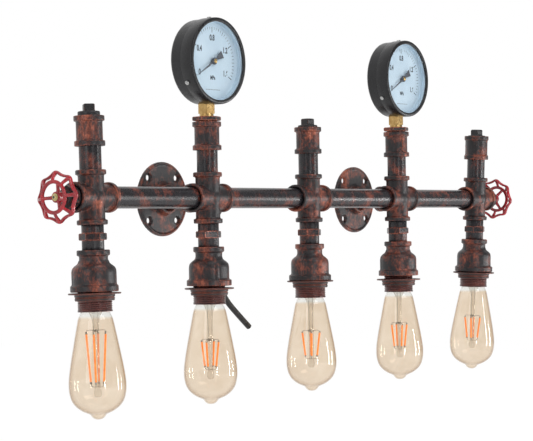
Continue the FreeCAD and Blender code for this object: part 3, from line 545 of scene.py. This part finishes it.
REDUCER_TURN = {1: 133, 2: 63, 3: 13, 4: 134, 5: 106}


def bell_reducer(turn):
    """Banded neck, quick flare into a straight skirt with a heavy band, and two low mould ribs."""
    line = [(18.75, -59.5), (18.75, -65.0), (16.3, -65.8), (16.2, -71.0)]
    line += smooth_line([(16.2, -71.0), (17.4, -74.2), (21.0, -77.0), (23.6, -80.0), (24.4, -84.0)], 4)[1:]
    line += [(24.4, -98.3), (27.2, -99.2), (27.2, -106.0)]

    def fill(bm):
        hollow = [(19.8, -106.0), (19.8, -83.0), (12.75, -73.0), (12.75, -59.0)]
        revolve(bm, [(18.0, -59.0)] + line + hollow, 84)
        outer = [(radius + 0.9, height) for radius, height in line[3:-2]] + [(27.1, -99.0)]
        for side in (0, 180):
            rings = []
            for radius, height in outer:
                across = Vector(polar(1.3, turn + side + 90))
                rings.append([Vector(polar(radius, turn + side, height)) - across,
                              Vector(polar(radius, turn + side, height)) + across,
                              Vector(polar(radius - 3.0, turn + side, height)) + across,
                              Vector(polar(radius - 3.0, turn + side, height)) - across])
            rows = skin(bm, rings)
            for row in (rows[0], rows[-1]):
                bm.faces.new(row)
    return fill


RING_TOP = {1: -107.0, 2: -108.5, 3: -106.3, 4: -110.5, 5: -107.0}


def add_lamp(column):
    place, bulb = column_place(column), f"bulb_{column}"
    add_piece(f"bulb_envelope_{column}", to_mesh("bulb_envelope", bulb_glass), place, bulb,
              ["bulb_glass"], [f"bulb_glass_{column}"], sharp=70)
    add_piece(f"bulb_inner_mount_{column}", to_mesh("bulb_inner_mount", filament_mount(column)), place, bulb,
              ["mount_glass", "steel", "filament"], [f"filament_mount_{column}"])
    add_piece(f"bulb_screw_cap_{column}", to_mesh("bulb_screw_cap", bulb_cap), place, bulb,
              ["cap_metal", "ceramic"], [f"bulb_cap_{column}"])
    add_piece(f"threaded_shade_ring_{column}", to_mesh("shade_ring", shade_ring(RING_TOP[column])), place,
              f"shade_ring_{column}", ["iron_brown"], [f"shade_ring_{column}"])
    sleeve = add_piece(f"threaded_sleeve_{column}", to_mesh("holder_sleeve", holder_sleeve), place,
                       "pipework", ["sleeve"])
    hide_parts("lampholder_sleeves")
    reducer = add_piece(f"cast_bell_reducer_{column}",
                        to_mesh("bell_reducer", bell_reducer(REDUCER_TURN[column])), place,
                        "pipework", ["iron"])
    cast(reducer, 0.75)
    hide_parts("bell_reducers")


# ---- gauges ----------------------------------------------------------------------------------------------

SCALE_START, SCALE_STEP = 210.0, 60.0       # degrees at the first number and between numbers
SCALE_NUMBERS = ("0", "0.4", "0.8", "1.2", "1.6")
MARKS_PER_NUMBER = 10
DIAL_FACE = 10.5
PRINT_LIFT = 0.06
MARK_END = 41.5                             # the radius where every mark ends
NUMBER_R = 28.2
NUMBER_SIZE = 9.6
UNIT_SIZE = 6.8


def lettering(text, size, x, y, height):
    """Generic figures as a flat mesh, centred at x, y."""
    curve = bpy.data.curves.new("figures", "FONT")
    curve.body = text
    curve.size = size
    curve.offset = 0.035 * size
    curve.align_x = "CENTER"
    curve.align_y = "CENTER"
    holder = bpy.data.objects.new("figures", curve)
    bpy.context.scene.collection.objects.link(holder)
    bpy.context.view_layer.update()
    mesh = bpy.data.meshes.new_from_object(holder)
    mesh.transform(Matrix.Translation((x, y, height)) @ Matrix.Diagonal((0.8, 1, 1, 1)))
    bpy.data.objects.remove(holder)
    return mesh


def dial_print(bm):
    """Scale marks, figures, the unit and a row of dashes, a hair above the dial."""
    height = DIAL_FACE + PRINT_LIFT

    def mark(inner, outer, degrees, width):
        along = Vector(polar(1, degrees))
        across = Vector((-along.y, along.x, 0)) * width / 2
        corners = [along * inner - across, along * outer - across,
                   along * outer + across, along * inner + across]
        bm.faces.new([bm.verts.new(corner + Vector((0, 0, height))) for corner in corners])

    for number in range(MARKS_PER_NUMBER * (len(SCALE_NUMBERS) - 1) + 1):
        degrees = SCALE_START - number * SCALE_STEP / MARKS_PER_NUMBER
        if number % MARKS_PER_NUMBER == 0:
            mark(34.8, MARK_END, degrees, 1.0)
        else:
            mark(38.2 if number % 5 else 36.8, MARK_END, degrees, 0.55)
    for number, text in enumerate(SCALE_NUMBERS):
        x, y, _ = polar(NUMBER_R, SCALE_START - number * SCALE_STEP)
        mesh = lettering(text, NUMBER_SIZE, x, y, height)
        bm.from_mesh(mesh)
        bpy.data.meshes.remove(mesh)
    mesh = lettering("MPa", UNIT_SIZE, 0, -20.0, height)
    bm.from_mesh(mesh)
    bpy.data.meshes.remove(mesh)
    for dash in range(-4, 5):
        left, right = dash * 3.0 - 0.95, dash * 3.0 + 0.95
        bm.faces.new([bm.verts.new((x, y, height)) for x, y in
                      ((left, -34.6), (right, -34.6), (right, -33.9), (left, -33.9))])


def gauge_dial(bm):
    """Shallow pan whose rolled rim is clamped under the window."""
    revolve(bm, [(2.0, 9.7), (48.0, 9.7), (48.0, 16.9), (50.8, 16.9), (50.8, 17.55), (47.7, 17.55),
                 (47.25, 17.1), (47.2, 11.3), (46.6, 10.6), (45.8, DIAL_FACE), (2.0, DIAL_FACE)], 128)


def gauge_bezel(bm):
    """A skirt over the pot, turned in over the window with a rounded lip."""
    revolve(bm, [(51.5, 4.0), (52.1, 4.0), (52.25, 4.3), (52.25, 19.0), (52.1, 19.9), (51.6, 20.6),
                 (50.9, 21.0), (48.2, 21.0), (47.5, 20.8), (47.2, 20.3), (47.2, 19.5), (51.5, 19.5)], 144)


def gauge_pot(bm):
    """A pressed cup with a rounded corner, open to the room."""
    revolve(bm, [(0, -13.5), (46.6, -13.5), (48.6, -13.2), (50.2, -12.3), (51.1, -10.9), (51.4, -9.2),
                 (51.4, 16.9), (50.0, 16.9), (50.0, -9.2), (49.4, -10.8), (47.6, -12.0), (45.6, -12.1),
                 (0, -12.1)], 144, False)


def pointer_boss(bm):
    revolve(bm, [(0, 15.3), (2.7, 15.3), (2.7, 15.9), (2.2, 16.4), (0.9, 16.6), (0.8, 16.35),
                 (0, 16.35)], 32, False)


def add_gauges():
    for side, column in GAUGES.items():
        place = gauge_place(column)
        dial = add_piece(f"dial_pan_{side}", to_mesh("dial_pan", gauge_dial), place, "pipework", ["dial"])
        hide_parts("gauge_dials")
        add_piece(f"dial_scale_{side}", to_mesh("dial_scale", dial_print), place, "pipework", ["print"])
        bezel = add_piece(f"bezel_ring_{side}", to_mesh("bezel_ring", gauge_bezel), place, "pipework",
                          ["gauge_black"], sharp=50)
        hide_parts("gauge_bezels")
        pot = add_piece(f"pressed_pot_{side}", to_mesh("pressed_pot", gauge_pot), place, "pipework",
                        ["gauge_black"], sharp=50)
        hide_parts("gauge_pots")
        add_piece(f"pointer_boss_{side}", to_mesh("pointer_boss", pointer_boss), place, f"pointer_{side}",
                  ["brass"])


# ---- handwheels ------------------------------------------------------------------------------------------

WHEEL_TURN = {-1: -5.0, 1: 8.0}
WHEEL_POINTS = 8
SPOKE_ANGLES = (90, 210, 330)
RIM_OUT = 54.4          # from the end column's axis to the middle of the rim


def rim_radius(degrees):
    """Eight rounded points with hollow stretches between them."""
    return 25.1 + 2.9 * (0.5 + 0.5 * math.cos(math.radians(WHEEL_POINTS * degrees))) ** 1.5


def handwheel(bm):
    """Dished casting along Z: scalloped rim, ribs to a smaller ring, three spokes down to the hub."""
    rings = []
    for angle in range(0, 360, 3):
        middle = rim_radius(angle)
        rings.append([polar(middle + 1.75 * math.cos(math.tau * step / 16), angle,
                            RIM_OUT + 2.9 * math.sin(math.tau * step / 16)) for step in range(16)])
    skin(bm, rings, closed_along=True)
    revolve(bm, [(14.9, 60.4), (15.9, 59.3), (18.3, 59.3), (19.3, 60.4), (19.3, 61.9), (18.3, 63.1),
                 (15.9, 63.1), (14.9, 62.1)], 96)
    for point in range(WHEEL_POINTS):
        angle = 360 // WHEEL_POINTS * point
        tube(bm, smooth_line([polar(27.9, angle, RIM_OUT), polar(25.4, angle, 56.4), polar(21.6, angle, 59.4),
                              polar(17.6, angle, 61.4)], 4),
             [2.5, 2.6, 2.6, 2.5, 2.35, 2.2, 2.1, 2.0, 1.95, 1.9, 1.85, 1.75, 1.6], 12)
    for angle in SPOKE_ANGLES:
        tube(bm, smooth_line([polar(4.6, angle, 56.0), polar(8.6, angle, 57.4), polar(12.4, angle, 59.6),
                              polar(16.8, angle, 61.4)], 4),
             [2.6, 2.5, 2.4, 2.3, 2.2, 2.1, 2.05, 2.0, 2.0, 2.0, 2.0, 1.9, 1.6], 12)
    revolve(bm, [(4.05, 50.0), (5.9, 50.0), (6.2, 50.4), (6.2, 57.8), (5.5, 58.5), (2.15, 58.5), (2.15, 56.5),
                 (4.05, 56.5)], 48)


def wheel_screw(bm):
    """Washer and a round-headed screw with a round recess, its inside in dark paint as painted shade."""
    revolve(bm, [(2.1, 58.52), (4.1, 58.52), (4.25, 58.7), (4.25, 59.15), (4.1, 59.3), (2.1, 59.3)], 40)
    revolve(bm, [(0, 47.0), (2.0, 47.0), (2.0, 59.3), (2.9, 59.3), (3.0, 59.6), (2.7, 60.3), (2.0, 60.7),
                 (1.45, 60.8)], 40, False, material=1)
    # the recess takes the dark pointer paint: painted shade in the hollow of a brass head
    revolve(bm, [(1.45, 60.8), (1.3, 60.0), (0, 59.8)], 40, False, material=2)


def add_handwheels():
    for side, name in ((-1, "left"), (1, "right")):
        body, place = f"handwheel_{name}", end_place(side, WHEEL_TURN[side])
        wheel = add_piece(f"cast_handwheel_{name}", to_mesh("cast_handwheel", handwheel), place, body,
                          ["wheel_red"], [f"handwheel_{name}"])
        cast(wheel, 0.45, 4)
        # the third material, the pointer paint, is painted shade in the screw's recess
        add_piece(f"wheel_fixing_{name}", to_mesh("wheel_fixing", wheel_screw), place, body,
                  ["screw_brass", "screw_brass", "pointer"], [f"wheel_screw_{name}"])


# ---- carried-over CAD nodes ------------------------------------------------------------------------------

CAD_FINISH = {
    "iron": ("four_way_crosses", "five_way_crosses", "pipe_couplings", "wall_flanges", "gauge_bushings"),
    "iron_pipe": ("run_pipes", "upper_nipples", "hex_nipples", "rear_nipples"),
    "iron_black": ("square_plugs", "handwheel_bonnets"),
    "ceramic": ("lampholder_insulators",),
    "brass": ("screw_shells", "holder_contacts", "gauge_stems", "bourdon_tubes", "movement_frames",
              "sector_gear_left", "sector_gear_right"),
    "steel": ("bezel_screws", "wheel_spindle_left", "wheel_spindle_right"),
    "pointer": ("gauge_pointer_left", "gauge_pointer_right"),
    "window_glass": ("gauge_windows",),
    "rubber": ("lead_grommet",),
    "wire_brown": ("internal_wiring",),
}
CAST = {"four_way_crosses": 0.8, "five_way_crosses": 0.8, "pipe_couplings": 0.75, "square_plugs": 0.6,
        "wall_flanges": 0.8}
ROUNDED = {"hex_nipples": 0.4, "gauge_bushings": 0.4, "handwheel_bonnets": 0.4, "gauge_stems": 0.4}


WELD = 0.000002         # metres: a CAD mesh's doubled points are closer than this


def dress_nodes():
    for finish, names in CAD_FINISH.items():
        for name in names:
            node = nodes[name]
            if not node.material_slots:
                node.data.materials.append(MATERIALS[finish])
            for material_slot in node.material_slots:
                material_slot.material = MATERIALS[finish]
            weld = node.modifiers.new("weld", "WELD")
            weld.merge_threshold = WELD
            if name in ROUNDED:
                soften(node, ROUNDED[name])
            if name in CAST:
                cast(node, CAST[name])


# ---- studio ----------------------------------------------------------------------------------------------

def seen_rays(tree):
    """1 for rays that show the backdrop: from the camera, in a mirror or through glass."""
    path = tree.nodes.new("ShaderNodeLightPath")
    total = path.outputs["Is Camera Ray"]
    for name in ("Is Glossy Ray", "Is Transmission Ray"):
        most = tree.nodes.new("ShaderNodeMath")
        most.operation = "MAXIMUM"
        tree.links.new(total, most.inputs[0])
        tree.links.new(path.outputs[name], most.inputs[1])
        total = most.outputs[0]
    return total


FLOOR_HEIGHT = -0.5     # metres
BACKDROP = 1.05         # brightness of the floor as it is seen, which hides its far edge
BACKDROP_SHARE = 0.92
AT_MIDDLE = (0, 0, 0)
AT_BULBS = (0, -0.07, -0.2)
# name, place and aim in metres, width, height, power
LAMPS = (("key", (-0.3, -2.3, 1.5), AT_MIDDLE, 1.6, 1.0, 20.0),
         ("left_fill", (-2.4, -0.3, 0.6), AT_MIDDLE, 0.9, 1.4, 8.0),
         ("strip_one", (-1.1, -2.2, -0.22), AT_BULBS, 0.11, 0.62, 7.0),
         ("strip_two", (1.1, -1.7, -0.22), AT_BULBS, 0.12, 0.9, 10.0),
         ("strip_three", (1.6, -1.1, -0.35), AT_BULBS, 0.12, 0.7, 7.0),
         ("top", (0.0, -0.4, 2.2), AT_MIDDLE, 1.8, 0.8, 10.0))


def add_world():
    """White where it is seen, half as bright for diffuse light, and dimmer towards the room in mirrors."""
    world = bpy.data.worlds.new("studio")
    world.use_nodes = True
    bpy.context.scene.world = world
    tree = world.node_tree
    background = tree.nodes["Background"]
    background.inputs["Color"].default_value = (1, 1, 1, 1)
    level = tree.nodes.new("ShaderNodeMapRange")
    level.inputs["To Min"].default_value = 0.5
    level.inputs["To Max"].default_value = 1.0
    tree.links.new(seen_rays(tree), level.inputs["Value"])
    direction = tree.nodes.new("ShaderNodeTexCoord").outputs["Generated"]
    parts = tree.nodes.new("ShaderNodeSeparateXYZ")
    tree.links.new(direction, parts.inputs[0])
    room = tree.nodes.new("ShaderNodeMapRange")
    room.inputs["From Min"].default_value = -0.35
    room.inputs["From Max"].default_value = 0.45
    room.inputs["To Min"].default_value = 0.3
    room.inputs["To Max"].default_value = 1.0
    tree.links.new(parts.outputs["Y"], room.inputs["Value"])
    path = tree.nodes.new("ShaderNodeLightPath")
    mirrored = tree.nodes.new("ShaderNodeMix")
    mirrored.inputs["A"].default_value = 1.0
    tree.links.new(path.outputs["Is Glossy Ray"], mirrored.inputs["Factor"])
    tree.links.new(room.outputs[0], mirrored.inputs["B"])
    product = tree.nodes.new("ShaderNodeMath")
    product.operation = "MULTIPLY"
    tree.links.new(level.outputs[0], product.inputs[0])
    tree.links.new(mirrored.outputs[0], product.inputs[1])
    tree.links.new(product.outputs[0], background.inputs["Strength"])


def floor_grid(bm):
    bmesh.ops.create_grid(bm, x_segments=8, y_segments=8, size=4000)


def add_floor():
    floor_mesh = to_mesh("floor", floor_grid)
    s = Shading("floor")
    pale = s.blend(s.ramp(s.noise(400.0), 0.3, 0.7), (0.93, 0.93, 0.93, 1), (0.95, 0.95, 0.95, 1))
    matt = s.add("ShaderNodeBsdfDiffuse", {"Color": pale})
    white = s.add("ShaderNodeEmission", {"Color": (1, 1, 1, 1), "Strength": BACKDROP})
    share = s.math("MULTIPLY", seen_rays(s.tree), BACKDROP_SHARE)
    mix = s.add("ShaderNodeMixShader", {0: share, 1: matt.outputs[0], 2: white.outputs[0]})
    s.tree.links.new(mix.outputs[0], s.output.inputs["Surface"])
    floor_mesh.transform(Matrix.Translation((0, 0, FLOOR_HEIGHT)) @ Matrix.Scale(MM, 4))
    floor_mesh.materials.append(s.material)
    floor = bpy.data.objects.new("floor", floor_mesh)
    bpy.context.scene.collection.objects.link(floor)


def add_lights():
    for name, place, aim, width, height, power in LAMPS:
        lamp = bpy.data.lights.new(name, "AREA")
        lamp.shape = "RECTANGLE"
        lamp.size, lamp.size_y, lamp.energy = width, height, power
        holder = bpy.data.objects.new(name, lamp)
        toward = Vector(aim) - Vector(place)
        holder.matrix_world = Matrix.Translation(place) @ toward.to_track_quat("-Z", "Y").to_matrix().to_4x4()
        holder.visible_camera = False
        bpy.context.scene.collection.objects.link(holder)


add_camera()
add_lead()
for number in COLUMNS:
    add_lamp(number)
add_gauges()
add_handwheels()
dress_nodes()
add_world()
add_floor()
add_lights()
bpy.context.scene.view_settings.view_transform = "Standard"


def plain(box):
    return [list(corner) for corner in box]
